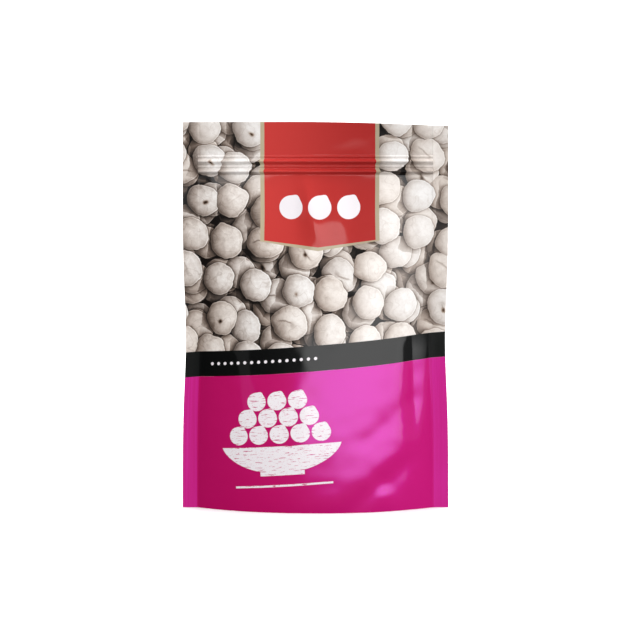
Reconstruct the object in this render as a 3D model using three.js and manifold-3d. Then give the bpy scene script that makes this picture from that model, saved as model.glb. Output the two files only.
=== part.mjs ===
// A stand-up zip pouch of roasted chickpeas, shut and full. Its front and back are printed film, welded
// together down both sides and flat above the zip, and its base is a gusset that folds up between them.
// The shut pack is one solid.
// Millimetres. X runs across the width, the front faces -Y and Z is up. The origin is the middle of the
// footprint, on the surface that the pouch stands on.
import * as THREE from "three";
import { mergeVertices } from "three/addons/utils/BufferGeometryUtils.js";
import Module from "manifold-3d";

const { lerp, smoothstep } = THREE.MathUtils;

// Outline of the film.
const HEIGHT = 233;
const BASE_HALF_WIDTH = 80;
const TOP_HALF_WIDTH = 79.4;
const WAIST = { height: 102, spread: 38, pinch: 1.9 }; // the filled belly draws the sides in
const TOP_CUT_DROP = 2.4; // the cut top edge falls away towards the right
const TOP_CUT_FROM = -10;

// Welds and film.
const SEAL_WIDTH = 9;
const SEAL_THICKNESS = 0.6;

// The filled body, as the distance of the film from the middle plane.
const BELLY_HALF_DEPTH = 25.5;
const BODY_TOP = 204; // the film is flat from here up
const BODY_TAPER = 1.2;
const BODY_ROUNDNESS = 2.35; // 2 makes the cross-section a parabola, and more makes it flatter
const BASE_TUCK = { depth: 1.4, height: 9 }; // the film turns in where the gusset holds it

// Soft folds of the front, each from one x and z to another. Those that are drawn in have a negative out.
const FRONT_FOLDS = [
  { from: [8.5, -9.5], to: [69, 42.2], out: -0.85, halfWidth: 3.2, softness: 3 },
  { from: [-12, -14.5], to: [72, 50], out: 0.65, halfWidth: 4.1, softness: 3 },
  { from: [20, -12.5], to: [46, 16.5], out: 0.85, halfWidth: 3.2, softness: 3 },
  { from: [20, 33], to: [66, 75], out: -0.3, halfWidth: 2.2, softness: 3 },
  { from: [58.8, 20], to: [60.8, 205], out: -0.95, halfWidth: 2.25, softness: 3 },
  { from: [-9, 206], to: [4.5, 153], out: 1.3, halfWidth: 7.5, softness: 0.1 },
  { from: [-13, 178], to: [22, 180.5], out: 1.9, halfWidth: 6, softness: 3 },
];
const FOLD_FADE = 0.3; // share of a fold's length over which it rises at each end

// The zip: two pairs of ribs across the pouch, from seal to seal.
const ZIP_RIBS = [
  { bottom: 201, crest: 203.4, top: 205, rise: 1.6 },
  { bottom: 205, crest: 206.1, top: 206.9, rise: 0.42 },
  { bottom: 206.9, crest: 209.4, top: 211, rise: 1.6 },
  { bottom: 211, crest: 212.2, top: 213, rise: 0.42 },
];
const ZIP_BOTTOM = 201;
const ZIP_TOP = 214;

// The flat top leans forwards a little and waves to and fro across the pouch.
const TOP_LEAN = 0.031;
const TOP_WAVE = { out: 0.7, length: 34, phase: 1.2, bottom: 150 };

// The gusset, seen from below: it is welded inside the skirt, rests on the ground in the middle and
// rises to a fold at each end.
const SKIRT_HEIGHT = 4;
const SKIRT_THICKNESS = 0.9;
const FOLD_HEIGHT = 38;
const FOLD_RISE = 2.6; // 1 would make the middle line rise straight to the fold, and more keeps it low
const PAD_SINK = 2.5; // how far the gusset would sag below the ground if the ground didn't hold it
const GUSSET_REACH = 0.955; // of the half width inside the seals
const GUSSET_BELOW = 4;

// Mesh fineness.
const COLUMNS_PER_SIDE = 18;
const ROW_STEP = 6.1;
const GUSSET_COLUMNS_PER_SIDE = 11;
const GUSSET_STEPS = [0.9, 0.75, 0.55, 0.3, 0.04]; // from the skirt in to the middle line

const FILM_COLOUR = 0xb8145f;

function halfWidth(z) {
  const pinch = WAIST.pinch * Math.exp(-(((z - WAIST.height) / WAIST.spread) ** 2));
  return lerp(BASE_HALF_WIDTH, TOP_HALF_WIDTH, z / HEIGHT) - pinch;
}

function bodyHalfWidth(z) {
  return halfWidth(z) - SEAL_WIDTH;
}

function bellyDepth(z) {
  const taper = Math.max(0, 1 - (z / BODY_TOP) ** 2) ** BODY_TAPER;
  return BELLY_HALF_DEPTH * taper - BASE_TUCK.depth * Math.exp(-z / BASE_TUCK.height);
}

// 1 down the middle of the pouch, falling to 0 at the seals.
function crossSection(x, z) {
  const across = Math.min(1, Math.abs(x) / bodyHalfWidth(z));
  return 1 - across ** BODY_ROUNDNESS;
}

// How far one fold moves the film out.
function foldRise(x, z, { from, to, out, halfWidth: spread, softness }) {
  const start = new THREE.Vector2(...from);
  const way = new THREE.Vector2(...to).sub(start);
  const place = new THREE.Vector2(x, z).sub(start);
  const along = place.dot(way) / way.lengthSq();
  const away = way.cross(place) / way.length() / spread;
  const shape = Math.exp(softness - Math.hypot(away, softness));
  return out * shape * smoothstep(along, 0, FOLD_FADE) * smoothstep(1 - along, 0, FOLD_FADE);
}

function frontFolds(x, z) {
  return FRONT_FOLDS.reduce((rise, fold) => rise + foldRise(x, z, fold), 0);
}

function zipRise(z) {
  return ZIP_RIBS.reduce((rise, { bottom, crest, top, rise: height }) => {
    const share = Math.min((z - bottom) / (crest - bottom), (top - z) / (top - crest));
    return rise + height * Math.max(0, share);
  }, 0);
}

// How far the front or back film stands off the middle plane. Only the front is folded.
function filmDepth(x, z, isFront) {
  const section = crossSection(x, z);
  const swell = Math.max(0, bellyDepth(z)) * section;
  const zip = section > 0 ? zipRise(z) : 0;
  const folds = isFront ? frontFolds(x, z) * Math.min(1, section * 3) : 0;
  return SEAL_THICKNESS / 2 + Math.max(0, swell + zip + folds);
}

// How far the flat top stands behind the middle plane.
function topSway(x, z) {
  const high = smoothstep(z, TOP_WAVE.bottom, HEIGHT);
  const wave = TOP_WAVE.out * Math.sin(x / TOP_WAVE.length + TOP_WAVE.phase) * high;
  return wave - TOP_LEAN * Math.max(0, z - ZIP_BOTTOM);
}

// The cut top edge isn't quite level, and takes the flat film above the zip with it.
function cutHeight(x, z) {
  const aside = Math.max(0, (x - TOP_CUT_FROM) / (TOP_HALF_WIDTH - TOP_CUT_FROM));
  const share = Math.max(0, (z - ZIP_TOP) / (HEIGHT - ZIP_TOP));
  return z - TOP_CUT_DROP * aside ** 1.6 * share;
}

// Places across the body from seal to seal, closer together towards the seals.
function places(perSide) {
  return Array.from({ length: 2 * perSide + 1 }, (_, i) =>
    Math.sin((Math.PI / 2) * (i / perSide - 1)),
  );
}

function rowHeights() {
  const rows = Math.round(ZIP_BOTTOM / ROW_STEP);
  const body = Array.from({ length: rows }, (_, i) => (i * ZIP_BOTTOM) / rows);
  const zip = ZIP_RIBS.flatMap(({ bottom, crest }) => [bottom, crest]);
  return [...body, ...zip, ZIP_RIBS.at(-1).top, ZIP_TOP, lerp(ZIP_TOP, HEIGHT, 0.5), HEIGHT];
}

// One level of a loft: the front's points from left to right and then the back's from right to left.
function ring(front, back) {
  return [...front, ...back.toReversed()];
}

function filmRing(z) {
  const inner = places(COLUMNS_PER_SIDE).map((share) => share * bodyHalfWidth(z));
  const across = [-halfWidth(z), ...inner, halfWidth(z)];
  const side = (isFront) =>
    across.map((x) => {
      const depth = filmDepth(x, z, isFront);
      return new THREE.Vector3(x, (isFront ? -depth : depth) + topSway(x, z), cutHeight(x, z));
    });
  return ring(side(true), side(false));
}

// A closed geometry through rings that go up or inwards, with a strip of quads across each end.
function loft(rings) {
  const count = rings[0].length;
  const index = [];
  const quad = (a, b, c, d) => index.push(a, b, c, a, c, d);
  for (let level = 0; level + 1 < rings.length; level++) {
    const low = level * count;
    for (let i = 0; i < count; i++) {
      const next = (i + 1) % count;
      quad(low + i, low + next, low + count + next, low + count + i);
    }
  }
  const top = (rings.length - 1) * count;
  for (let i = 0; i + 1 < count / 2; i++) {
    const across = count - 1 - i;
    quad(i, across, across - 1, i + 1);
    quad(top + i, top + i + 1, top + across - 1, top + across);
  }
  return new THREE.BufferGeometry().setFromPoints(rings.flat()).setIndex(index);
}

// The height at which the gusset leaves the front and back film.
function gussetSeam(share) {
  return lerp(SKIRT_HEIGHT, FOLD_HEIGHT, 1 - Math.sqrt(1 - share ** 2));
}

// The height of the gusset, from its middle line at 0 to the skirt at 1.
function gussetHeight(share, fromMiddle) {
  const middle = lerp(-PAD_SINK, FOLD_HEIGHT, Math.abs(share) ** FOLD_RISE);
  const sharpness = lerp(4, 1.3, smoothstep(Math.abs(share), 0.4, 1));
  return lerp(middle, gussetSeam(share), fromMiddle ** sharpness);
}

// The space under the gusset, which reaches a little below the ground so that the cut is clean.
function gussetSpace() {
  const shares = places(GUSSET_COLUMNS_PER_SIDE).map((share) => share * GUSSET_REACH);
  const level = (fromMiddle, filmHeight, heightAt) => {
    const side = (isFront) =>
      shares.map((share) => {
        const z = filmHeight(share);
        const x = share * bodyHalfWidth(z);
        const depth = fromMiddle * (filmDepth(x, z, isFront) - SKIRT_THICKNESS);
        return new THREE.Vector3(x, isFront ? -depth : depth, heightAt(share));
      });
    return ring(side(true), side(false));
  };
  return loft([
    level(1, () => 0, () => -GUSSET_BELOW),
    level(1, gussetSeam, gussetSeam),
    ...GUSSET_STEPS.map((step) => level(step, gussetSeam, (share) => gussetHeight(share, step))),
  ]);
}

const wasm = await Module();
wasm.setup();

function solid(geometry) {
  const merged = mergeVertices(geometry);
  return new wasm.Manifold(
    new wasm.Mesh({
      numProp: 3,
      vertProperties: merged.attributes.position.array,
      triVerts: new Uint32Array(merged.index.array),
    }),
  );
}

function geometryOf(made) {
  const { vertProperties, triVerts } = made.getMesh();
  const geometry = new THREE.BufferGeometry();
  geometry.setAttribute("position", new THREE.BufferAttribute(vertProperties, 3));
  geometry.setIndex(new THREE.BufferAttribute(triVerts, 1));
  geometry.computeVertexNormals();
  return geometry;
}

const film = loft(rowHeights().map(filmRing));
const pouch = new THREE.Mesh(
  geometryOf(solid(film).subtract(solid(gussetSpace()))),
  new THREE.MeshStandardMaterial({ color: FILM_COLOUR, roughness: 0.4, metalness: 0.1 }),
);
pouch.name = "pouch";

const pack = new THREE.Group();
pack.add(pouch);

export default pack;
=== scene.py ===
"""A stand-up pouch of roasted chickpeas: printed film front and back, a folded gusset and a studio.

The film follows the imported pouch: flat welds at the sides, a belly that the chickpeas push out, a
zip across the top and a gusset that stands on the ground. Lengths are in metres unless a name says
otherwise, X runs across the pouch, its front faces -Y and Z is up.
"""

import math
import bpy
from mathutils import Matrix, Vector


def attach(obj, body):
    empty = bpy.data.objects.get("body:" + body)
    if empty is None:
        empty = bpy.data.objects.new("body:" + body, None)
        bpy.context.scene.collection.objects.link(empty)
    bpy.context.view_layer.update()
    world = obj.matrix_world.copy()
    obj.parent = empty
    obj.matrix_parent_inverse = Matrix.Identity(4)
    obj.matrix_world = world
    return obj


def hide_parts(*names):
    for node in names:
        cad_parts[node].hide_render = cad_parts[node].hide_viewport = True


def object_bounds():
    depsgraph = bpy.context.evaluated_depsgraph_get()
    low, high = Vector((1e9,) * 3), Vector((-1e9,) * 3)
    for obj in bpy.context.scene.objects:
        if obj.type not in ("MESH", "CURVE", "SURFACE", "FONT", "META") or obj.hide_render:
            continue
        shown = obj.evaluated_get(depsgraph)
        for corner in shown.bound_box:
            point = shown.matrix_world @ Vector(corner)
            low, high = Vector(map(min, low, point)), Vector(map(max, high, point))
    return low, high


bl_info = {
    "name": "Chickpea Pouch",
    "version": (1, 0, 0),
    "blender": (4, 5, 0),
    "location": "View3D > Sidebar > Pouch",
    "description": "Makes a filled stand-up pouch of printed film and the studio that it stands in",
    "category": "Add Mesh",
}

import bpy
import numpy as np
from bpy.props import FloatProperty, FloatVectorProperty, PointerProperty
from mathutils import Vector, noise

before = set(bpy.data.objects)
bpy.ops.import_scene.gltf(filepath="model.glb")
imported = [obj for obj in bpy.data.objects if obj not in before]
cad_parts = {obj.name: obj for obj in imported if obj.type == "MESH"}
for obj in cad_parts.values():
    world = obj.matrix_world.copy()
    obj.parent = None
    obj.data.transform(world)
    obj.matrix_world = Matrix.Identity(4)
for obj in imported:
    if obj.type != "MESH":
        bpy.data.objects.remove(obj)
CAD_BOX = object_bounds()
NODE = "pouch"
BODY = "root"

MM = 0.001

# ---------------------------------------------------------------------------------------------
# The form of the pouch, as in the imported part
# ---------------------------------------------------------------------------------------------

HEIGHT = CAD_BOX[1].z
BASE_HALF_WIDTH = CAD_BOX[1].x
TOP_HALF_WIDTH = 79.4 * MM
WAIST_HEIGHT, WAIST_SPREAD, WAIST_PINCH = 102 * MM, 38 * MM, 1.9 * MM
TOP_CUT_DROP, TOP_CUT_FROM, TOP_CUT_BEND = 2.4 * MM, -10 * MM, 1.6
SEAL_WIDTH = 9 * MM

BELLY_HALF_DEPTH = 25.2 * MM
BODY_TOP, BODY_TAPER, BODY_ROUNDNESS = 204 * MM, 1.2, 2.35
BASE_TUCK_DEPTH, BASE_TUCK_HEIGHT = 1.4 * MM, 9 * MM

# Each zip rib: where it begins, where it stands out most, where it ends and how far it stands out.
ZIP_RIBS = (
    (201.0 * MM, 203.4 * MM, 205.0 * MM, 1.6 * MM),
    (205.0 * MM, 206.1 * MM, 206.9 * MM, 0.42 * MM),
    (206.9 * MM, 209.4 * MM, 211.0 * MM, 1.6 * MM),
    (211.0 * MM, 212.2 * MM, 213.0 * MM, 0.42 * MM),
)
ZIP_BOTTOM, ZIP_TOP = 201 * MM, 214 * MM

SKIRT_HEIGHT = 4 * MM
FOLD_HEIGHT, FOLD_RISE = 38 * MM, 2.6
PAD_SINK = 2.5 * MM

TOP_LEAN = 0.031  # how far the flat top leans forwards for each unit that it rises
TOP_WAVE, TOP_WAVE_LENGTH, TOP_WAVE_PHASE, TOP_WAVE_BOTTOM = 0.7 * MM, 34 * MM, 1.2, 150 * MM
WELD_WAVE, WELD_WAVE_LENGTH, WELD_WAVE_FROM, WELD_WAVE_BOTTOM = 0.25 * MM, 26 * MM, 60 * MM, 30 * MM

BEAD_RISE, BEAD_HALF_WIDTH = 0.22 * MM, 0.55 * MM  # melt squeezed out along a seal's inner edge
FILM_GAP = 0.02 * MM  # between the two films where they are welded
LONG_RIPPLE, LONG_RIPPLE_SIZE, LONG_RIPPLE_SQUASH = 0.22 * MM, 24 * MM, 0.6
SHORT_RIPPLE, SHORT_RIPPLE_SIZE, SHORT_RIPPLE_SEED = 0.10 * MM, 9 * MM, 9
FRONT_SEED, BACK_SEED = 1.7, 5.3
# How soon folds and ripples reach their full size in from the welds: more is sooner.
FOLD_ONSET, RIPPLE_ONSET = 3, 4
AT_WELD = 0.999  # share of the body's half width from which the film counts as welded


def half_width(z):
    pinch = WAIST_PINCH * np.exp(-(((z - WAIST_HEIGHT) / WAIST_SPREAD) ** 2))
    return BASE_HALF_WIDTH + (TOP_HALF_WIDTH - BASE_HALF_WIDTH) * z / HEIGHT - pinch


def body_half_width(z):
    return half_width(z) - SEAL_WIDTH


def belly_depth(z):
    taper = np.maximum(0, 1 - (z / BODY_TOP) ** 2) ** BODY_TAPER
    return BELLY_HALF_DEPTH * taper - BASE_TUCK_DEPTH * np.exp(-z / BASE_TUCK_HEIGHT)


def bump(distance, half):
    """1 at no distance, falling smoothly to 0."""
    return np.exp(-((distance / half) ** 2))


def eased(value, low, high):
    """0 below low, 1 above high and smooth between."""
    share = np.clip((value - low) / (high - low), 0, 1)
    return share * share * (3 - 2 * share)


def zip_rise(z):
    """The zip's ribs, each with a long flank below its crest and a short one above."""
    rise = np.zeros_like(z)
    for bottom, crest, top, out in ZIP_RIBS:
        rise += out * np.minimum(eased(z, bottom, crest), eased(top - z, 0, top - crest))
    return rise


def ripple(x, z, size, seed):
    """Smooth noise between -1 and 1 over the film, with ripples about size across."""
    flat = zip(np.ravel(x) / size, np.ravel(z) / size)
    return np.array([noise.noise(Vector((a, b, seed))) for a, b in flat]).reshape(np.shape(x))


# ---------------------------------------------------------------------------------------------
# Folds of the front film
# ---------------------------------------------------------------------------------------------

# Each fold: (x, z) of one end and of the other, how far it stands out or is drawn in and its half width,
# all in millimetres, and how soft its line is. It fades over a share of its length at either end.
FOLD_FADE = 0.3
FRONT_FOLDS = (
    ((8.5, -9.5), (69, 42.2), -0.85, 3.2, 3.0),
    ((-12, -14.5), (72, 50), 0.65, 4.1, 3.0),
    ((20, -12.5), (46, 16.5), 0.85, 3.2, 3.0),
    ((20, 33), (66, 75), -0.3, 2.2, 3.0),
    ((58.8, 20), (60.8, 205), -0.95, 2.25, 3.0),
    ((-9, 206), (4.5, 153), 1.3, 7.5, 0.1),
    ((-13, 178), (22, 180.5), 1.9, 6.0, 3.0),
)


def fold_rise(x, z, fold):
    """How far one fold moves the film out, fading towards the fold's ends."""
    start, end, out, half, softness = fold
    start, end = Vector(start) * MM, Vector(end) * MM
    way = (end - start).normalized()
    along = ((x - start.x) * way.x + (z - start.y) * way.y) / (end - start).length
    aside = (z - start.y) * way.x - (x - start.x) * way.y
    away = aside / (half * MM)
    shape = np.exp(softness - np.sqrt(away * away + softness * softness))
    return out * MM * shape * eased(along, 0, FOLD_FADE) * eased(1 - along, 0, FOLD_FADE)


def film_depth(x, z, is_front):
    """How far the inner side of the front or back film stands off the middle plane, but for the gap."""
    across = np.minimum(1, np.abs(x) / body_half_width(z))
    section = 1 - across**BODY_ROUNDNESS
    depth = np.maximum(0, belly_depth(z)) * section
    depth += zip_rise(z) * (across < AT_WELD)
    if is_front:
        folds = sum(fold_rise(x, z, fold) for fold in FRONT_FOLDS)
        depth += folds * np.minimum(1, section * FOLD_ONSET)
    seed = FRONT_SEED if is_front else BACK_SEED
    loose = np.minimum(1, section * RIPPLE_ONSET)
    depth += LONG_RIPPLE * loose * ripple(x, z * LONG_RIPPLE_SQUASH, LONG_RIPPLE_SIZE, seed)
    depth += SHORT_RIPPLE * loose * ripple(x, z, SHORT_RIPPLE_SIZE, seed + SHORT_RIPPLE_SEED)
    edge = np.abs(x) - body_half_width(z)
    return np.maximum(0, depth) + BEAD_RISE * bump(edge, BEAD_HALF_WIDTH)


def film_sway(x, z):
    """How the flat top of the pouch leans forwards, and it and the welds wave to and fro."""
    wave = TOP_WAVE * np.sin(x / TOP_WAVE_LENGTH + TOP_WAVE_PHASE) * eased(z, TOP_WAVE_BOTTOM, HEIGHT)
    wave = wave - TOP_LEAN * np.maximum(0, z - ZIP_BOTTOM)
    out = eased(np.abs(x), WELD_WAVE_FROM, BASE_HALF_WIDTH) * eased(z, 0, WELD_WAVE_BOTTOM)
    return wave + WELD_WAVE * out * np.sin(z / WELD_WAVE_LENGTH + np.sign(x))


def cut_height(x, z):
    """The cut top edge isn't quite level, and takes the flat film above the zip with it."""
    aside = np.maximum(0, (x - TOP_CUT_FROM) / (TOP_HALF_WIDTH - TOP_CUT_FROM))
    share = np.maximum(0, (z - ZIP_TOP) / (HEIGHT - ZIP_TOP))
    return z - TOP_CUT_DROP * aside**TOP_CUT_BEND * share


# ---------------------------------------------------------------------------------------------
# Laying out a film
# ---------------------------------------------------------------------------------------------

BODY_COLUMNS, FIN_COLUMNS = 110, (0.03, 0.12, 0.5, 1.0)
NEAR_BEAD = (0.9965, 0.9985)  # two more columns beside the bead along each weld
COLUMN_CROWDING = 0.94  # 1 would crowd the columns at the welds the most
ROW_STEP, ZIP_ROW_STEP = 1.7 * MM, 0.24 * MM
# Shares of the bake map: the outer side is in the middle, the rim round it and the inner side in a strip.
MAP_LEFT, MAP_RIGHT, MAP_LOW, MAP_HIGH = 0.02, 0.93, 0.02, 0.98
RIM_GAP, RIM_WIDTH = 0.004, 0.008
INNER_MAP_FROM, INNER_MAP_WIDTH = 0.95, 0.045
SMOOTH_ANGLE = math.radians(50)


def columns():
    """(share of the body's half width, share of the seal) for each column, from left to right."""
    widest = math.pi / 2 * COLUMN_CROWDING
    body = np.sin(np.linspace(-widest, widest, BODY_COLUMNS + 1)) / math.sin(widest)
    near = np.array(NEAR_BEAD)
    body = np.sort(np.concatenate([body, near, -near]))
    fins = np.array(FIN_COLUMNS)
    shares = np.concatenate([-np.ones(len(fins)), body, np.ones(len(fins))])
    seals = np.concatenate([-fins[::-1], np.zeros(len(body)), fins])
    return shares, seals


def rows():
    low = np.arange(0, ZIP_BOTTOM, ROW_STEP)
    middle = np.arange(ZIP_BOTTOM, ZIP_TOP, ZIP_ROW_STEP)
    high = np.arange(ZIP_TOP, HEIGHT - ROW_STEP / 2, ROW_STEP)
    return np.concatenate([low, middle, high, [HEIGHT]])


def new_grid(name, wide, high):
    """A grid primitive of that many columns and rows, with each vertex's column and row."""
    bpy.ops.object.select_all(action="DESELECT")
    bpy.ops.mesh.primitive_grid_add(x_subdivisions=wide - 1, y_subdivisions=high - 1, size=1)
    piece = bpy.context.object
    piece.name = name
    piece.data.name = name
    places = np.empty(len(piece.data.vertices) * 3)
    piece.data.vertices.foreach_get("co", places)
    flat = places.reshape(-1, 3)
    if len(flat) != wide * high:
        raise RuntimeError(f"{name}: the grid has {len(flat)} vertices, not {wide * high}")
    column = np.rint((flat[:, 0] + 0.5) * (wide - 1)).astype(int)
    row = np.rint((flat[:, 1] + 0.5) * (high - 1)).astype(int)
    return piece, column, row


def set_map(piece, name, values):
    """Writes one UV map from a pair of numbers for each vertex."""
    mesh = piece.data
    layer = mesh.uv_layers.get(name) or mesh.uv_layers.new(name=name)
    corner = np.empty(len(mesh.loops), int)
    mesh.loops.foreach_get("vertex_index", corner)
    layer.uv.foreach_set("vector", values[corner].astype(np.float32).ravel())


def bake_place(across, up):
    """Places on the outer side's part of the bake map, from shares of the way across and up a film."""
    u = MAP_LEFT + (MAP_RIGHT - MAP_LEFT) * across
    return np.stack([u, MAP_LOW + (MAP_HIGH - MAP_LOW) * up], 1)


def thicken(piece, thickness):
    """Gives a sheet its thickness inwards, and its inner side and rim their strips of the bake map."""
    outer = len(piece.data.vertices)
    solid = piece.modifiers.new("Film thickness", "SOLIDIFY")
    solid.thickness = thickness
    solid.offset = -1
    bpy.context.view_layer.objects.active = piece
    bpy.ops.object.modifier_apply(modifier=solid.name)
    mesh = piece.data
    vertex = np.empty(len(mesh.loops), int)
    mesh.loops.foreach_get("vertex_index", vertex)
    layer = mesh.uv_layers["OFBake"]
    places = np.empty(len(mesh.loops) * 2, np.float32)
    layer.uv.foreach_get("vector", places)
    places = places.reshape(-1, 2)
    starts = np.array([face.loop_start for face in mesh.polygons])
    corners = starts[:, None] + np.arange(4)
    at = places[corners]
    inner = vertex[corners] >= outer
    share = (at[:, :, 0] - MAP_LEFT) / (MAP_RIGHT - MAP_LEFT)
    at[:, :, 0] = np.where(inner.all(1)[:, None], INNER_MAP_FROM + INNER_MAP_WIDTH * share, at[:, :, 0])
    is_rim = inner.any(1) & ~inner.all(1)
    thin = np.ptp(at, axis=1).argmin(1)
    for side, low, high in ((0, MAP_LEFT, MAP_RIGHT), (1, MAP_LOW, MAP_HIGH)):
        rim = np.flatnonzero(is_rim & (thin == side))
        way = np.where(at[rim, 0, side] < (low + high) / 2, -1, 1)
        edge = np.where(way < 0, low, high)
        at[rim, :, side] = edge[:, None] + way[:, None] * (RIM_GAP + RIM_WIDTH * inner[rim])
    places[corners] = at
    layer.uv.foreach_set("vector", places.ravel())


def finish_piece(piece, material):
    """Smooths a piece, gives it its material and says what it stands for."""
    bpy.ops.object.select_all(action="DESELECT")
    piece.select_set(True)
    bpy.context.view_layer.objects.active = piece
    bpy.ops.object.shade_smooth_by_angle(angle=SMOOTH_ANGLE)
    piece.data.materials.clear()
    piece.data.materials.append(material)
    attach(piece, BODY)
    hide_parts(NODE)


def film_across(x, depth):
    """Lengths along the film from its middle, scaled so that every row is as wide as the flat film."""
    steps = np.hypot(np.diff(x, axis=1), np.diff(depth, axis=1))
    along = np.concatenate([np.zeros((len(x), 1)), np.cumsum(steps, axis=1)], axis=1)
    middle = (along[:, :1] + along[:, -1:]) / 2
    return (along - middle) / (along[:, -1:] - middle) * BASE_HALF_WIDTH


def make_film(name, is_front, thickness, material):
    """The front or the back film, from the ground to the cut top edge."""
    shares, seals = columns()
    heights = rows()
    share, z = np.meshgrid(shares, heights)
    seal = np.meshgrid(seals, heights)[0]
    x = share * body_half_width(z) + seal * SEAL_WIDTH
    depth = film_depth(x, z, is_front) + FILM_GAP + thickness
    print_across = film_across(x, depth)
    side = -1 if is_front else 1
    y = side * depth + film_sway(x, z)
    top = cut_height(x, z)
    piece, column, row = new_grid(name, len(shares), len(heights))
    if not is_front:
        column = len(shares) - 1 - column
    places = np.stack([x[row, column], y[row, column], top[row, column]], 1)
    piece.data.vertices.foreach_set("co", places.ravel())
    piece.data.uv_layers[0].name = "OFBake"
    across = print_across[row, column] * (1 if is_front else -1)
    set_map(piece, "Film", np.stack([across, places[:, 2]], 1))
    set_map(piece, "OFBake", bake_place((across / BASE_HALF_WIDTH + 1) / 2, places[:, 2] / HEIGHT))
    thicken(piece, thickness)
    finish_piece(piece, material)


# ---------------------------------------------------------------------------------------------
# The gusset
# ---------------------------------------------------------------------------------------------

GUSSET_COLUMNS, GUSSET_REACH = 96, 0.985
SKIRT_ROWS, BASE_ROWS = 5, 48
SKIRT_SINK = 0.05 * MM  # how far the gusset sits inside the front and back film's inner side
GUSSET_SHARPNESS, FOLD_SHARPNESS = 4, 1.3  # of the bend up to the skirt, in the middle and at the sides
SHARPNESS_FROM = 0.4  # of the half width, where the one begins to give way to the other


def gusset_seam(share):
    return SKIRT_HEIGHT + (FOLD_HEIGHT - SKIRT_HEIGHT) * (1 - np.sqrt(1 - share**2))


def gusset_height(share, from_middle):
    middle = -PAD_SINK + (FOLD_HEIGHT + PAD_SINK) * np.abs(share) ** FOLD_RISE
    aside = eased(np.abs(share), SHARPNESS_FROM, 1)
    sharpness = GUSSET_SHARPNESS - (GUSSET_SHARPNESS - FOLD_SHARPNESS) * aside
    low = middle + (gusset_seam(share) - middle) * from_middle**sharpness
    return np.maximum(low, 0)


def make_gusset(name, thickness, material):
    """The gusset: up the inside of the front skirt, across the base and down the back skirt."""
    shares = np.sin(np.linspace(-1, 1, GUSSET_COLUMNS + 1) * math.pi / 2) * GUSSET_REACH
    up = np.linspace(0, 1, SKIRT_ROWS, endpoint=False)
    over = np.linspace(-1, 1, BASE_ROWS + 1)
    kinds = [(-1, s) for s in up] + [(v, 1) for v in over] + [(1, s) for s in up[::-1]]
    across, risen = (np.array(v)[:, None] for v in zip(*kinds))
    share = shares[None, :] + 0 * across
    seam = gusset_seam(share)
    on_skirt = np.abs(across) >= 1
    z = np.where(on_skirt, seam * risen, gusset_height(share, np.abs(across)))
    x = share * body_half_width(z)
    level = np.where(on_skirt, z, seam)
    front, back = (film_depth(x, level, is_front) + FILM_GAP - SKIRT_SINK for is_front in (True, False))
    y = across * np.where(across < 0, front, back) + film_sway(x, level)
    piece, column, row = new_grid(name, len(shares), len(kinds))
    places = np.stack([x[row, column], y[row, column], z[row, column]], 1)
    piece.data.vertices.foreach_set("co", places.ravel())
    piece.data.uv_layers[0].name = "OFBake"
    set_map(piece, "Film", places[:, :2])
    set_map(piece, "OFBake", bake_place(column / (len(shares) - 1), row / (len(kinds) - 1)))
    bpy.ops.object.mode_set(mode="EDIT")
    bpy.ops.mesh.select_all(action="SELECT")
    bpy.ops.mesh.flip_normals()
    bpy.ops.object.mode_set(mode="OBJECT")
    thicken(piece, thickness)
    finish_piece(piece, material)


# ---------------------------------------------------------------------------------------------
# Node trees
# ---------------------------------------------------------------------------------------------


class Ink:
    """One socket of a film's nodes. Arithmetic on it adds Math nodes, so that 1 - ink works."""

    def __init__(self, film, socket):
        self.film = film
        self.socket = socket

    def other(self, name):
        """Another output of the same node."""
        return Ink(self.film, self.socket.node.outputs[name])

    def maths(self, operation, *values):
        return self.film.node("ShaderNodeMath", {"operation": operation}, dict(enumerate(values)))

    def __add__(self, more):
        return self.maths("ADD", self, more)

    def __sub__(self, less):
        return self.maths("SUBTRACT", self, less)

    def __rsub__(self, whole):
        return self.maths("SUBTRACT", whole, self)

    def __mul__(self, times):
        return self.maths("MULTIPLY", self, times)

    def __truediv__(self, by):
        return self.maths("DIVIDE", self, by)

    def __pow__(self, power):
        return self.maths("POWER", self, power)

    def __abs__(self):
        return self.maths("ABSOLUTE", self)

    __radd__ = __add__
    __rmul__ = __mul__

    def least(self, other):
        return self.maths("MINIMUM", self, other)

    def most(self, other):
        return self.maths("MAXIMUM", self, other)

    def over(self, other):
        return self.maths("GREATER_THAN", self, other)

    def exponent(self):
        return self.maths("EXPONENT", self)

    def modulo(self, step):
        return self.maths("MODULO", self, step)


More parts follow.
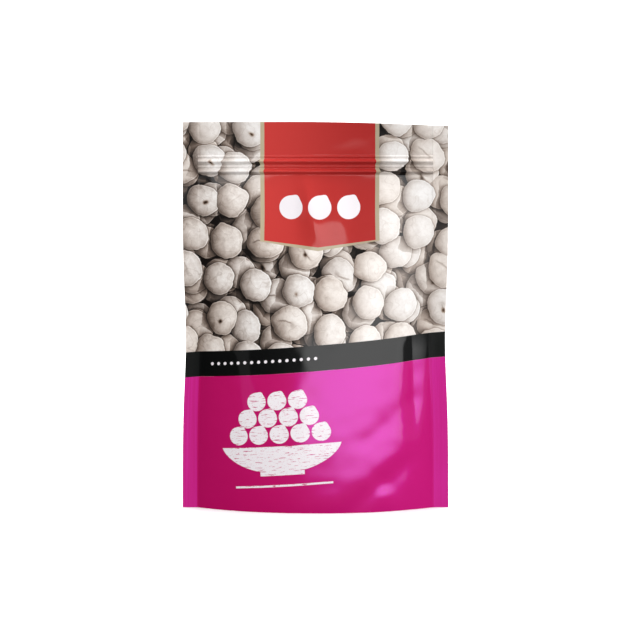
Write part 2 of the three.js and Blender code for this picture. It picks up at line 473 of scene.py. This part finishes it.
class Nodes:
    """A node tree, and the few kinds of node that the films, the floor and the studio share."""

    def __init__(self, holder):
        holder.use_nodes = True
        self.tree = holder.node_tree
        self.tree.nodes.clear()

    def node(self, kind, settings, sockets, output=0):
        """Adds a node, sets its settings and then its sockets' values or links."""
        made = self.tree.nodes.new(kind)
        for name, value in settings.items():
            if name == "stops":
                self.set_stops(made.color_ramp, value)
            else:
                setattr(made, name, value)
        for name, value in sockets.items():
            if isinstance(value, Ink):
                self.tree.links.new(value.socket, made.inputs[name])
            else:
                made.inputs[name].default_value = value
        return Ink(self, made.outputs[output]) if len(made.outputs) else None

    @staticmethod
    def set_stops(ramp, stops):
        while len(ramp.elements) < len(stops):
            ramp.elements.new(1)
        for element, (place, colour) in zip(ramp.elements, stops):
            element.position = place
            element.color = (*colour, 1)

    def rise(self, value, low, high):
        """0 below low, 1 above high and smooth between."""
        settings = {"interpolation_type": "SMOOTHSTEP"}
        return self.node("ShaderNodeMapRange", settings, {"Value": value, 1: low, 2: high})

    def within(self, distance, blur=0.12):
        """1 where a distance in millimetres is below 0, with an edge as wide as printed ink's."""
        return self.rise(distance * -1, -blur, blur)

    def blend(self, share, low, high):
        return self.node("ShaderNodeMix", {"data_type": "FLOAT"}, {0: share, 2: low, 3: high})

    def dye(self, share, low, high):
        """A mix of two colours."""
        low, high = (c if isinstance(c, Ink) else (*c, 1) for c in (low, high))
        return self.node("ShaderNodeMix", {"data_type": "RGBA"}, {0: share, 6: low, 7: high}, 2)

    def tint(self, share, base, glaze):
        """A colour under a glaze, which can only darken it."""
        settings = {"data_type": "RGBA", "blend_type": "MULTIPLY"}
        return self.node("ShaderNodeMix", settings, {0: share, 6: base, 7: (*glaze, 1)}, 2)

    def vector(self, x, y):
        return self.node("ShaderNodeCombineXYZ", {}, {0: x, 1: y})

    def cloud(self, place, scale, detail=2, roughness=0.5):
        """Noise between 0 and 1."""
        settings = {"noise_dimensions": "2D"}
        sockets = {"Vector": place, "Scale": scale, "Detail": detail, "Roughness": roughness}
        return self.node("ShaderNodeTexNoise", settings, sockets)


class Laminate(Nodes):
    """The node material of one film, or of the floor."""

    def __init__(self, name):
        self.material = bpy.data.materials.new(name)
        super().__init__(self.material)

    def film_place(self):
        """Millimetres across the flat film from its middle, and up it from the ground."""
        place = self.node("ShaderNodeUVMap", {"uv_map": "Film"}, {})
        across = self.node("ShaderNodeSeparateXYZ", {}, {0: place})
        return across * 1000, across.other("Y") * 1000

    def finish(self, pearl=0, **sockets):
        """The film's shader: ink under a clear laminate, with a share of violet pearl in the ink."""
        named = {name.replace("_", " "): value for name, value in sockets.items()}
        surface = self.node("ShaderNodeBsdfPrincipled", {}, named)
        if pearl:
            flakes = {"Base Color": (*PEARL_COLOUR, 1), "Metallic": 1, "Roughness": PEARL_ROUGHNESS}
            flakes = self.node("ShaderNodeBsdfPrincipled", {}, flakes)
            surface = self.node("ShaderNodeMixShader", {}, {0: pearl, 1: surface, 2: flakes})
        self.node("ShaderNodeOutputMaterial", {}, {"Surface": surface})
        return self.material


# ---------------------------------------------------------------------------------------------
# The printed chickpeas
# ---------------------------------------------------------------------------------------------

PEA_CELL_MM, PEA_SCATTER = 22.2, 0.3
PEA_RADIUS = 10.6 / PEA_CELL_MM
PEA_LIGHT_EAST, PEA_LIGHT_NORTH, PEA_LIGHT_OUT = 0.66, 0.16, 0.73
PEAS_LEFT_OUT = 0.12  # of each layer
PEA_BEAK, PEA_BEAK_SHARPNESS = 0.1, 14
PEA_DARKEST, PEA_RIM_GLOW = 0.36, 0.2
PEA_WOBBLE_MM = ((0.07, 3.4), (0.3, 1.1))  # how fine the noise is, and how far it moves the picture
GAP_CLOUD, GAP_BRIGHTNESS = 0.1, 0.24
CLEFT_CURVE, CLEFT_WIDTH, CLEFT_DARK = 0.35, 0.045, 0.34
DIMPLE_AREA, DIMPLE_DARK = 0.03, 0.26
TIP_AREA, TIP_DARK = 0.016, 0.8
SHADOW_REACH, LEE_SHADOW_REACH, SHADOW_DARK, LEE_SHADOW_DARK = 0.08, 0.28, 0.5, 0.4
# Painted light and shade over the picture: it is darkened towards its left as painted shade and lifted
# towards its right, and towards the zip, which counts as so much further right.
PAINTED_SHADE_MM, PAINTED_LIGHT_MM = -70, 60
PAINTED_LIGHT_RISE_MM, PAINTED_LIGHT_RISE_WORTH_MM = (186, 204), 60
PAINTED_SHADE_BRIGHTNESS, PAINTED_SHADE_POWER, PAINTED_LIGHT_POWER = 0.93, 1.7, 0.95
PEA_LAYERS = (  # from the bottom of the heap up: brightness, degrees turned and cells moved
    (0.66, 55, (29.80, 6.53)),
    (0.87, 24, (5.31, 14.77)),
    (0.94, 71, (9.87, 23.55)),
    (0.97, 38, (17.63, 2.29)),
    (1.00, 9, (3.62, 8.29)),
)


class Chickpea:
    """The nearest chickpea of one layer of the printed heap."""

    def __init__(self, film, x, y, level, turn, shift):
        cos, sin = math.cos(math.radians(turn)), math.sin(math.radians(turn))
        x, y = x * cos - y * sin + shift[0], x * sin + y * cos + shift[1]
        sockets = {"Vector": film.vector(x, y), "Scale": 1, "Randomness": PEA_SCATTER}
        cell = film.node("ShaderNodeTexVoronoi", {"voronoi_dimensions": "2D"}, sockets)
        middle = film.node("ShaderNodeSeparateXYZ", {}, {0: cell.other("Position")})
        chance = film.node("ShaderNodeSeparateColor", {}, {0: cell.other("Color")})
        first, second, third = chance, chance.other("Green"), chance.other("Blue")
        right, up = x - middle, y - middle.other("Y")
        way = first * math.tau
        along_x, along_y = way.maths("COSINE", way), way.maths("SINE", way)
        along, aside = right * along_x + up * along_y, up * along_x - right * along_y
        reach = (along * along + aside * aside * 1.12 + 1e-5) ** 0.5
        beak = (along / reach).most(0) ** PEA_BEAK_SHARPNESS * film.rise(third, 0.45, 0.6) * PEA_BEAK
        size = (0.91 + second * 0.13 + beak) * PEA_RADIUS
        self.edge = reach / size
        east = PEA_LIGHT_EAST * cos - PEA_LIGHT_NORTH * sin
        north = PEA_LIGHT_EAST * sin + PEA_LIGHT_NORTH * cos
        height = (1 - self.edge * self.edge).most(0) ** 0.5
        self.towards = (right * east + up * north) / size
        shade = ((self.towards + height * PEA_LIGHT_OUT + 0.5) / 1.42).most(0).least(1)
        skin = self.dust(film, along + first * 31, aside + second * 17)
        rim = film.rise(self.edge, 0.925, 0.96) * (1 - film.rise(self.edge, 0.97, 1.0))
        tone = PEA_DARKEST + shade * (1 - PEA_DARKEST)
        tone = tone * (1 - 0.07 * film.rise(self.edge, 0.7, 0.97)) * skin
        tone = tone + rim * (0.05 + PEA_RIM_GLOW * shade)
        tip = self.brown_tip(film, along, aside, size, first)
        tone = tone * (1 - self.cleft(film, along, aside, size, second)) * (1 - tip * TIP_DARK)
        self.tone = tone * level
        self.present = second.over(PEAS_LEFT_OUT)
        self.cover = (1 - film.rise(self.edge, 0.985, 1.02)) * self.present
        self.warmth = (third * 0.25).most(tip)

    def dust(self, film, along, aside):
        """How bright the powdery skin is: blotches, fine grain and a few hair cracks."""
        place = film.vector(along, aside)
        blotch = film.cloud(place, 5, 4, 0.7)
        crack = film.rise(abs(film.cloud(place, 2.2, 1) - 0.46), 0.0, 0.02)
        return (0.77 + 0.44 * blotch) * (0.9 + 0.1 * crack)

    def cleft(self, film, along, aside, size, chance):
        """How much the line between a chickpea's halves darkens it. Only some turn it our way."""
        along, aside = along / size, aside / size
        line = (aside - along * along * CLEFT_CURVE + 0.06) / CLEFT_WIDTH
        line = (line * line * -1).exponent()
        line = line * film.rise(along, -0.15, 0.1) * (1 - film.rise(along, 0.45, 0.75))
        dimple = ((along + 0.12) * (along + 0.12) + aside * aside) / DIMPLE_AREA * -1
        dark = line * CLEFT_DARK + dimple.exponent() * DIMPLE_DARK
        return film.rise(chance, 0.62, 0.7) * dark

    def brown_tip(self, film, along, aside, size, chance):
        """The toasted spot where a chickpea sprouts. Few turn it our way."""
        along, aside = along / size - 0.2, aside / size + 0.1
        spot = (along * along + aside * aside * 1.6) / TIP_AREA * -1
        return spot.exponent() * film.rise(chance, 0.78, 0.8)

    def shadow(self, film):
        """What this chickpea leaves of the light on those below it, more so away from the light."""
        lee = film.rise(self.towards * -1, -0.3, 1.0)
        dark = (self.edge - 1).most(0) / (SHADOW_REACH + LEE_SHADOW_REACH * lee) * -1
        return 1 - (SHADOW_DARK + LEE_SHADOW_DARK * lee) * dark.exponent() * self.present


def heap_of_chickpeas(film, across, up, east):
    """(tone, warmth) of a picture of heaped chickpeas with painted light and shade across it: 0 is a dark
    gap and 1 the brightest skin.
    """
    place = film.vector(across, up)
    other_place = film.vector(up + 57, across - 31)
    x, y = across, up
    for detail, (scale, far) in enumerate(PEA_WOBBLE_MM, 1):
        x = x + (film.cloud(place, scale, detail) - 0.5) * far
        y = y + (film.cloud(other_place, scale, detail) - 0.5) * far
    x, y = x / PEA_CELL_MM, y / PEA_CELL_MM
    tone = film.cloud(place, GAP_CLOUD) * GAP_BRIGHTNESS
    warmth = tone
    for level, turn, shift in PEA_LAYERS:
        pea = Chickpea(film, x, y, level, turn, shift)
        tone = film.blend(pea.cover, tone * pea.shadow(film), pea.tone)
        warmth = film.blend(pea.cover, warmth, pea.warmth)
    # Painted light: the picture is darkened at the left as painted shade and lifted towards the right and
    # the zip.
    painted_light_reach = east + film.rise(up, *PAINTED_LIGHT_RISE_MM) * PAINTED_LIGHT_RISE_WORTH_MM
    painted_light = film.rise(painted_light_reach, PAINTED_SHADE_MM, PAINTED_LIGHT_MM)
    tone = tone * film.blend(painted_light, PAINTED_SHADE_BRIGHTNESS, 1)
    return tone ** film.blend(painted_light, PAINTED_SHADE_POWER, PAINTED_LIGHT_POWER), warmth


# ---------------------------------------------------------------------------------------------
# The rest of the print. Places are millimetres on the flat film.
# ---------------------------------------------------------------------------------------------

BAND_TOP_MM, BAND_BOTTOM_MM, BAND_SLOPE = 100.4, 85.2, 0.0797
LABEL_MIDDLE_MM, LABEL_HALF_MM, LABEL_EDGE_MM = 2.6, 33.4, 2.4
LABEL_TIP_MM, LABEL_SLOPE = 158.4, 0.122
LABEL_EDGE_TIP_MM, LABEL_EDGE_SLOPE = 156.2, 0.163
EMBLEM_MM, EMBLEM_PEA_MM, EMBLEM_STEP_MM = (2.6, 182.0), 7.0, 17.5
BOWL_MM, BOWL_HALF_MM, BOWL_DEPTH_MM, BOWL_TILT = (-20.0, 41.5), 35.0, 17.5, 0.083
BOWL_PEA_MM, BOWL_ROWS = 5.5, (5, 4, 3)
PEA_BEAK_X, PEA_BEAK_Y = math.cos(math.radians(62)), math.sin(math.radians(62))
WELD_FROM_MM = 71.8
PEARL, PEARL_COLOUR, PEARL_ROUGHNESS = 0.085, (0.6, 0.03, 1.0), 0.16
LABEL_METAL = 0.09
DOT_MM, DOT_STEP_MM, DOTS_FROM_MM, DOTS = 0.95, 4.2, -65.0, 16
RULE_HALF_MM, RULE_BELOW_BOWL_MM, RULE_SHARE = 0.6, 7.5, 0.8
STAMP_BEAK, STAMP_BEAK_SHARPNESS = 0.16, 24
BOWL_CURVE, BOWL_FLAT_FROM = 0.62, 0.92  # how round its sides are, and at what share of its depth they end
FOOT_SHARE, FOOT_HALF_MM, BOWL_GAP_MM = 0.36, 1.6, 1.2
HEAP_STEP_MM, HEAP_LIFT_MM, HEAP_CLOSENESS = 2 * BOWL_PEA_MM + 1.0, BOWL_PEA_MM + 0.4, 0.84
SKIN_STOPS = (0.04, 0.26, 0.5, 0.76, 1.0)
FIELD_TURN_MM, LABEL_TURN_MM = (-40, 50), (-38, 34)  # over which each goes from one colour to the other: painted light, darker at the field's left and the label's right as painted shade, lighter at the label's left and purpler at the field's right as painted sheen
LABEL_TIP_LEFT_MM = 1.2  # of the label's middle
SPECULAR, COAT, PRINT_COAT_ROUGHNESS, PLAIN_COAT_ROUGHNESS = 0.12, 0.6, 0.05, 0.12
PRINT_ROUGHNESS, PLAIN_ROUGHNESS, MOTTLE_ROUGHNESS = 0.34, 0.36, 0.1


def row_of_peas(film, x, y, count, step, radius):
    """The mask of a level row of chickpeas, each with a beak, whose middle is at 0, 0."""
    half = step * count / 2
    right, up = ((x + half).modulo(step) - step / 2) / radius, y / radius
    along, aside = right * PEA_BEAK_X + up * PEA_BEAK_Y, up * PEA_BEAK_X - right * PEA_BEAK_Y
    reach = (along * along + aside * aside + 1e-5) ** 0.5
    beak = (along / reach).most(0) ** STAMP_BEAK_SHARPNESS * STAMP_BEAK
    return film.within((reach - 1 - beak) * radius) * film.within(abs(x) - half)


def worn(film, across, up):
    """The mask of ink that a dry stamp would leave."""
    specks = film.rise(film.cloud(film.vector(across, up), 1.3, 5, 0.75), 0.3, 0.38)
    scratches = film.cloud(film.vector(across * 0.16 + up * 0.02, up * 1.5 - across * 0.12), 1, 3, 0.6)
    return specks * film.rise(scratches, 0.33, 0.38)


def bowl_of_chickpeas(film, across, up):
    """The mask of a stamped bowl heaped with chickpeas, tilted as the band is."""
    x, y = across - BOWL_MM[0], up - BOWL_MM[1]
    x, y = x + y * BOWL_TILT, y - x * BOWL_TILT
    side = (x / BOWL_HALF_MM) * (x / BOWL_HALF_MM)
    bottom = ((1 - side).most(0) ** BOWL_CURVE) * -BOWL_DEPTH_MM
    bowl = film.within(y + BOWL_GAP_MM) * film.within(bottom.most(-BOWL_DEPTH_MM * BOWL_FLAT_FROM) - y)
    bowl = bowl * film.within(abs(x) - BOWL_HALF_MM)
    foot = film.within(abs(x) - BOWL_HALF_MM * FOOT_SHARE)
    foot = foot * film.within(abs(y + BOWL_DEPTH_MM * 0.98) - FOOT_HALF_MM)
    mask = bowl.most(foot)
    for level, count in enumerate(BOWL_ROWS):
        height = HEAP_LIFT_MM + level * HEAP_STEP_MM * HEAP_CLOSENESS
        mask = mask.most(row_of_peas(film, x, y - height, count, HEAP_STEP_MM, BOWL_PEA_MM))
    rule_y = abs(y + BOWL_DEPTH_MM + RULE_BELOW_BOWL_MM) - RULE_HALF_MM
    rule = film.within(rule_y) * film.within(abs(x) - BOWL_HALF_MM * RULE_SHARE)
    return mask.most(rule)


def printed_film(name, colours, is_front):
    """Ink on film: the heap of chickpeas, the band, the lower field and the label."""
    film = Laminate(name)
    across, up = film.film_place()
    place = film.vector(across, up)
    east = across if is_front else across * -1  # so that front and back meet at the welds
    tone, warmth = heap_of_chickpeas(film, across, up, east)
    skins = (colours.gap, colours.shade, colours.skin_dark, colours.skin, colours.skin_light)
    skin = film.node("ShaderNodeValToRGB", {"stops": list(zip(SKIN_STOPS, skins))}, {"Fac": tone})
    ink = film.tint(warmth, skin, colours.skin_warm)
    slant = up - east * BAND_SLOPE
    below_band = film.within(slant - BAND_BOTTOM_MM)
    band = film.within(slant - BAND_TOP_MM) * (1 - below_band)
    # Painted light: the lower field is deeper at its left as painted shade and purpler at its right as a
    # painted violet sheen.
    field = film.dye(film.rise(east, *FIELD_TURN_MM), colours.field, colours.field_right)
    # Painted sheen and light: the film on the side welds gets lighter colours, in long faint streaks.
    weld = film.within(WELD_FROM_MM - abs(across))
    sheen_streak = film.rise(film.cloud(film.vector(across * 0.8, up * 0.012), 1), 0.35, 0.65)
    field = film.dye(weld * (0.7 + sheen_streak * 0.3), field, colours.field_weld_sheen)
    ink = film.dye(band, ink, film.dye(weld, colours.band, colours.band_weld_sheen))
    ink = film.dye(below_band, ink, field)
    metal = 0
    pearl = below_band * PEARL
    if is_front:
        from_label = abs(across - LABEL_MIDDLE_MM)
        from_tip = abs(across - LABEL_MIDDLE_MM + LABEL_TIP_LEFT_MM)
        edge = film.within(from_label - LABEL_HALF_MM - LABEL_EDGE_MM)
        edge = edge * film.within(LABEL_EDGE_TIP_MM + from_tip * LABEL_EDGE_SLOPE - up)
        label = film.within(from_label - LABEL_HALF_MM)
        label = label * film.within(LABEL_TIP_MM + from_tip * LABEL_SLOPE - up)
        # Painted light: the label and its gold edge are lighter at the left as a painted reflection and
        # darker at the right as painted shade.
        shaded = film.rise(across, *LABEL_TURN_MM)
        gold = film.dye(shaded, colours.label_edge, colours.label_edge_shade)
        ink = film.dye(edge, ink, gold)
        red = film.dye(shaded, colours.label, colours.label_shade)
        ink = film.dye(label, ink, red)
        metal = edge * LABEL_METAL
        emblem = row_of_peas(
            film, across - EMBLEM_MM[0], up - EMBLEM_MM[1], 3, EMBLEM_STEP_MM, EMBLEM_PEA_MM
        )
        stamp = bowl_of_chickpeas(film, across, up) * worn(film, across, up)
        dot_x = (across - DOTS_FROM_MM).modulo(DOT_STEP_MM) - DOT_STEP_MM / 2
        dot_y = slant - (BAND_TOP_MM + BAND_BOTTOM_MM) / 2
        dots = film.within((dot_x * dot_x + dot_y * dot_y) ** 0.5 - DOT_MM)
        dots = dots * film.within(DOTS_FROM_MM - across)
        dots = dots * film.within(across - DOTS_FROM_MM - DOTS * DOT_STEP_MM)
        white = emblem.most(stamp).most(dots)
        ink = film.dye(white, ink, colours.white_ink)
        metal = metal * (1 - white)
        pearl = pearl * (1 - white)
    mottle = film.cloud(place, 0.5, 3)
    return film.finish(
        pearl,
        Base_Color=ink,
        Metallic=metal,
        Roughness=PRINT_ROUGHNESS + mottle * MOTTLE_ROUGHNESS,
        Specular_IOR_Level=SPECULAR,
        Coat_Weight=COAT,
        Coat_Roughness=PRINT_COAT_ROUGHNESS,
        Coat_IOR=1.45,
    )


def plain_film(name, colours):
    """The gusset's film, which is the lower field's colour all over."""
    film = Laminate(name)
    across, up = film.film_place()
    mottle = film.cloud(film.vector(across, up), 0.5, 3)
    ink = film.dye(mottle * 0.3, colours.field, colours.field_right)
    return film.finish(
        PEARL,
        Base_Color=ink,
        Roughness=PLAIN_ROUGHNESS + mottle * MOTTLE_ROUGHNESS,
        Specular_IOR_Level=SPECULAR,
        Coat_Weight=COAT,
        Coat_Roughness=PLAIN_COAT_ROUGHNESS,
    )


# ---------------------------------------------------------------------------------------------
# Settings, operators and panel
# ---------------------------------------------------------------------------------------------


def colour(name, description, default):
    return FloatVectorProperty(
        name=name, description=description, default=default, subtype="COLOR", size=3, min=0, max=1
    )


def srgb(red, green, blue):
    """An ink as mixed on screen, 0 to 255, in Blender's own linear numbers."""
    shares = (red / 255, green / 255, blue / 255)
    return tuple(c / 12.92 if c <= 0.04045 else ((c + 0.055) / 1.055) ** 2.4 for c in shares)


class PouchColours(bpy.types.PropertyGroup):
    # The field runs from painted shade at its left to a painted violet sheen at its right.
    field: colour("Field", "Lower field at the left", srgb(194, 9, 98))
    field_right: colour("Field right", "Lower field at the right", srgb(199, 15, 117))
    # Painted sheen and light: lighter and pinker on the welds than the field.
    field_weld_sheen: colour("Field weld", "Lower field on the side welds", srgb(210, 33, 140))
    band: colour("Band", "Slanted band", srgb(9, 10, 10))
    # Painted sheen and light: lighter on the welds than the band.
    band_weld_sheen: colour("Band weld", "Slanted band on the side welds", srgb(19, 21, 20))
    # The label and its edge run from a painted reflection at the left to painted shade at the right.
    label: colour("Label", "Label at the top, at the left", srgb(206, 60, 56))
    label_shade: colour("Label shade", "Label at the top, at the right", srgb(176, 42, 40))
    label_edge: colour("Label edge", "Edge of the label, at the left", srgb(192, 178, 148))
    label_edge_shade: colour("Label edge shade", "Edge of the label, at the right", srgb(176, 163, 138))
    white_ink: colour("White ink", "Stamped motifs and dots", srgb(238, 232, 236))
    gap: colour("Gap", "Deepest gaps between the chickpeas", srgb(18, 13, 11))
    shade: colour("Shade", "Chickpeas deep in the heap", srgb(104, 91, 83))
    skin_dark: colour("Skin in shade", "Shaded side of a chickpea", srgb(172, 160, 152))
    skin: colour("Skin", "Chickpea skin", srgb(218, 211, 206))
    skin_light: colour("Skin in light", "Lit side of a chickpea", srgb(242, 239, 237))
    skin_warm: colour("Warm skin", "Glaze over toasted skin", srgb(240, 214, 186))


class PouchSizes(bpy.types.PropertyGroup):
    film: FloatProperty(
        name="Film", description="Thickness of the front and back film", default=0.25 * MM,
        min=0.05 * MM, max=1 * MM, subtype="DISTANCE", unit="LENGTH",
    )
    gusset: FloatProperty(
        name="Gusset", description="Thickness of the gusset's film", default=0.2 * MM,
        min=0.05 * MM, max=1 * MM, subtype="DISTANCE", unit="LENGTH",
    )
    camera_distance: FloatProperty(
        name="Camera distance", description="From the camera to the pouch", default=3.6,
        min=1, max=10, subtype="DISTANCE", unit="LENGTH",
    )
    camera_rise: FloatProperty(
        name="Camera rise", description="How far the camera looks down",
        default=math.radians(7), min=0, max=1, subtype="ANGLE",
    )


class POUCH_OT_front_film(bpy.types.Operator):
    """Make the printed front film with its zip ribs, welds and folds"""

    bl_idname = "pouch.front_film"
    bl_label = "Front Film"

    def execute(self, context):
        scene = context.scene
        ink = printed_film("Printed front film", scene.pouch_colours, True)
        make_film("front_film", True, scene.pouch_sizes.film, ink)
        return {"FINISHED"}


class POUCH_OT_back_film(bpy.types.Operator):
    """Make the printed back film"""

    bl_idname = "pouch.back_film"
    bl_label = "Back Film"

    def execute(self, context):
        scene = context.scene
        ink = printed_film("Printed back film", scene.pouch_colours, False)
        make_film("back_film", False, scene.pouch_sizes.film, ink)
        return {"FINISHED"}


class POUCH_OT_gusset(bpy.types.Operator):
    """Make the folded gusset that the pouch stands on"""

    bl_idname = "pouch.gusset"
    bl_label = "Gusset"

    def execute(self, context):
        scene = context.scene
        ink = plain_film("Gusset film", scene.pouch_colours)
        make_gusset("base_gusset", scene.pouch_sizes.gusset, ink)
        return {"FINISHED"}


# ---------------------------------------------------------------------------------------------
# The studio
# ---------------------------------------------------------------------------------------------

FRAME_PX, PX = 640, 0.6 * MM  # the picture's side, and what one of its pixels covers at the pouch
AIM = Vector((2.7 * MM, 0, 113.6 * MM))
SENSOR = 36.0
FLOOR_SIZE = 24
FLOOR_LOW, FLOOR_HIGH, FLOOR_GRAIN = (0.88, 0.88, 0.88), (0.92, 0.92, 0.92), 9
PANEL_DISTANCE = 6
# Each panel: its name, the azimuths and elevations that it fills, in degrees, and its radiance.
KEY = ("Key", (-6.5, 58), (-8.5, 12.5), 3.85)
OTHER_PANELS = (
    ("Side", (45, 66), (-5.5, 25), 0.26),
    ("Left", (-45, -35), (-3, 20), 0.35),
    ("Back", (150, 200), (5, 40), 1.6),
)
KEY_FADE_LEFT, KEY_FADE_LOW, KEY_FADE_HIGH, KEY_FADE_SLANT = 0.085, 0.45, 0.143, 0.03
KEY_SLANT, KEY_SLANT_END = 0.781, 1.25
TOP_TILT, TOP_STRENGTH, TOP_SPREAD = math.radians(-14), 3.2, math.radians(50)
ROOM_LOW, ROOM_HIGH, ROOM_EAST, ROOM_GLOSS = 0.15, 1.65, 0.4, 0.02


def add_panel(name, azimuths, elevations, radiance):
    """A soft light panel that the pouch sees between those angles, in degrees.

    Azimuth 0 is at the camera's side, and 90 at the right.
    """
    distance = PANEL_DISTANCE
    around, rise = (math.radians(sum(pair) / 2) for pair in (azimuths, elevations))
    half_around, half_rise = (math.radians(pair[1] - pair[0]) / 2 for pair in (azimuths, elevations))
    way = Vector((math.sin(around) * math.cos(rise), -math.cos(around) * math.cos(rise), math.sin(rise)))
    bpy.ops.object.light_add(type="AREA", location=AIM + way * distance)
    lamp = bpy.context.object
    lamp.name = name
    lamp.visible_camera = False
    lamp.rotation_euler = way.to_track_quat("Z", "Y").to_euler()
    lamp.data.shape = "RECTANGLE"
    lamp.data.size = 2 * distance * math.tan(half_around)
    lamp.data.size_y = 2 * distance * math.tan(half_rise)
    lamp.data.energy = radiance * math.pi * lamp.data.size * lamp.data.size_y
    return lamp


def feather(lamp):
    """Makes the key's light fade at its left, lower and upper edges and end in a slant at its right."""
    panel = Nodes(lamp.data)
    place = panel.node("ShaderNodeNewGeometry", {}, {}, "Parametric")
    place = panel.node("ShaderNodeSeparateXYZ", {}, {0: place})
    up = place.other("Y")
    fade = panel.rise(place, 0, KEY_FADE_LEFT) * panel.rise(up, 0, KEY_FADE_LOW)
    fade = fade * panel.rise(1 - up, 0, KEY_FADE_HIGH)
    fade = fade * panel.rise(KEY_SLANT_END - place - up * KEY_SLANT, 0, KEY_FADE_SLANT)
    light = panel.node("ShaderNodeEmission", {}, {"Strength": fade})
    panel.node("ShaderNodeOutputLight", {}, {"Surface": light})


class POUCH_OT_studio(bpy.types.Operator):
    """Make the pale floor, the soft lights and the camera"""

    bl_idname = "pouch.studio"
    bl_label = "Studio"

    def execute(self, context):
        sizes = context.scene.pouch_sizes
        bpy.ops.object.select_all(action="DESELECT")
        bpy.ops.mesh.primitive_plane_add(size=FLOOR_SIZE)
        floor = context.object
        floor.name = "floor"
        floor.visible_glossy = False
        floor.visible_diffuse = False
        floor.visible_shadow = False
        pale = Laminate("Pale floor")
        grain = pale.cloud(pale.node("ShaderNodeTexCoord", {}, {}, "Object"), FLOOR_GRAIN, 4)
        tint = pale.dye(grain, FLOOR_LOW, FLOOR_HIGH)
        floor.data.materials.append(pale.finish(Base_Color=tint, Roughness=0.8))
        feather(add_panel(*KEY))
        for panel in OTHER_PANELS:
            add_panel(*panel)
        bpy.ops.object.light_add(type="SUN", location=(0, 0.4, 2))
        top = context.object
        top.name = "Top"
        top.rotation_euler = (TOP_TILT, 0, 0)
        top.data.energy = TOP_STRENGTH
        top.data.angle = TOP_SPREAD
        top.visible_glossy = False
        self.light_room(context.scene)
        self.add_camera(context.scene, sizes)
        context.scene.view_settings.view_transform = "Standard"
        return {"FINISHED"}

    def light_room(self, scene):
        """A room that is white to look at, soft and brighter at the right, and dark in reflections."""
        world = bpy.data.worlds.new("Studio")
        room = Nodes(world)
        ray = room.node("ShaderNodeLightPath", {}, {})
        way = room.node("ShaderNodeTexCoord", {}, {}, "Generated")
        way = room.node("ShaderNodeSeparateXYZ", {}, {0: way})
        soft = room.blend(room.rise(way.other("Z"), -0.3, 0.2), ROOM_LOW, ROOM_HIGH) + way * ROOM_EAST
        level = room.blend(ray.other("Is Glossy Ray"), soft, ROOM_GLOSS)
        level = room.blend(ray, level, 1)
        light = room.node("ShaderNodeBackground", {}, {"Strength": level})
        room.node("ShaderNodeOutputWorld", {}, {"Surface": light})
        scene.world = world

    def add_camera(self, scene, sizes):
        rise, distance = sizes.camera_rise, sizes.camera_distance
        away = Vector((0, -math.cos(rise), math.sin(rise)))
        bpy.ops.object.camera_add(location=AIM + away * distance)
        camera = bpy.context.object
        camera.name = "Camera"
        camera.rotation_euler = away.to_track_quat("Z", "Y").to_euler()
        camera.data.sensor_width = SENSOR
        camera.data.lens = SENSOR * distance / (FRAME_PX * PX)
        camera.data.clip_end = 100
        scene.camera = camera


class POUCH_PT_panel(bpy.types.Panel):
    """The pouch's pieces, sizes and colours"""

    bl_idname = "POUCH_PT_panel"
    bl_label = "Chickpea Pouch"
    bl_space_type = "VIEW_3D"
    bl_region_type = "UI"
    bl_category = "Pouch"

    def draw(self, context):
        for step in STEPS:
            self.layout.operator(step.bl_idname)
        for group in (context.scene.pouch_sizes, context.scene.pouch_colours):
            box = self.layout.box()
            for name in group.bl_rna.properties.keys():
                if name not in ("rna_type", "name"):
                    box.prop(group, name)


STEPS = (POUCH_OT_front_film, POUCH_OT_back_film, POUCH_OT_gusset, POUCH_OT_studio)
CLASSES = (PouchColours, PouchSizes, *STEPS, POUCH_PT_panel)


def register():
    for made in CLASSES:
        bpy.utils.register_class(made)
    bpy.types.Scene.pouch_colours = PointerProperty(type=PouchColours)
    bpy.types.Scene.pouch_sizes = PointerProperty(type=PouchSizes)


def unregister():
    del bpy.types.Scene.pouch_sizes
    del bpy.types.Scene.pouch_colours
    for made in reversed(CLASSES):
        bpy.utils.unregister_class(made)


def main():
    register()
    bpy.ops.pouch.front_film()
    bpy.ops.pouch.back_film()
    bpy.ops.pouch.gusset()
    bpy.ops.pouch.studio()


if __name__ == "__main__":
    main()
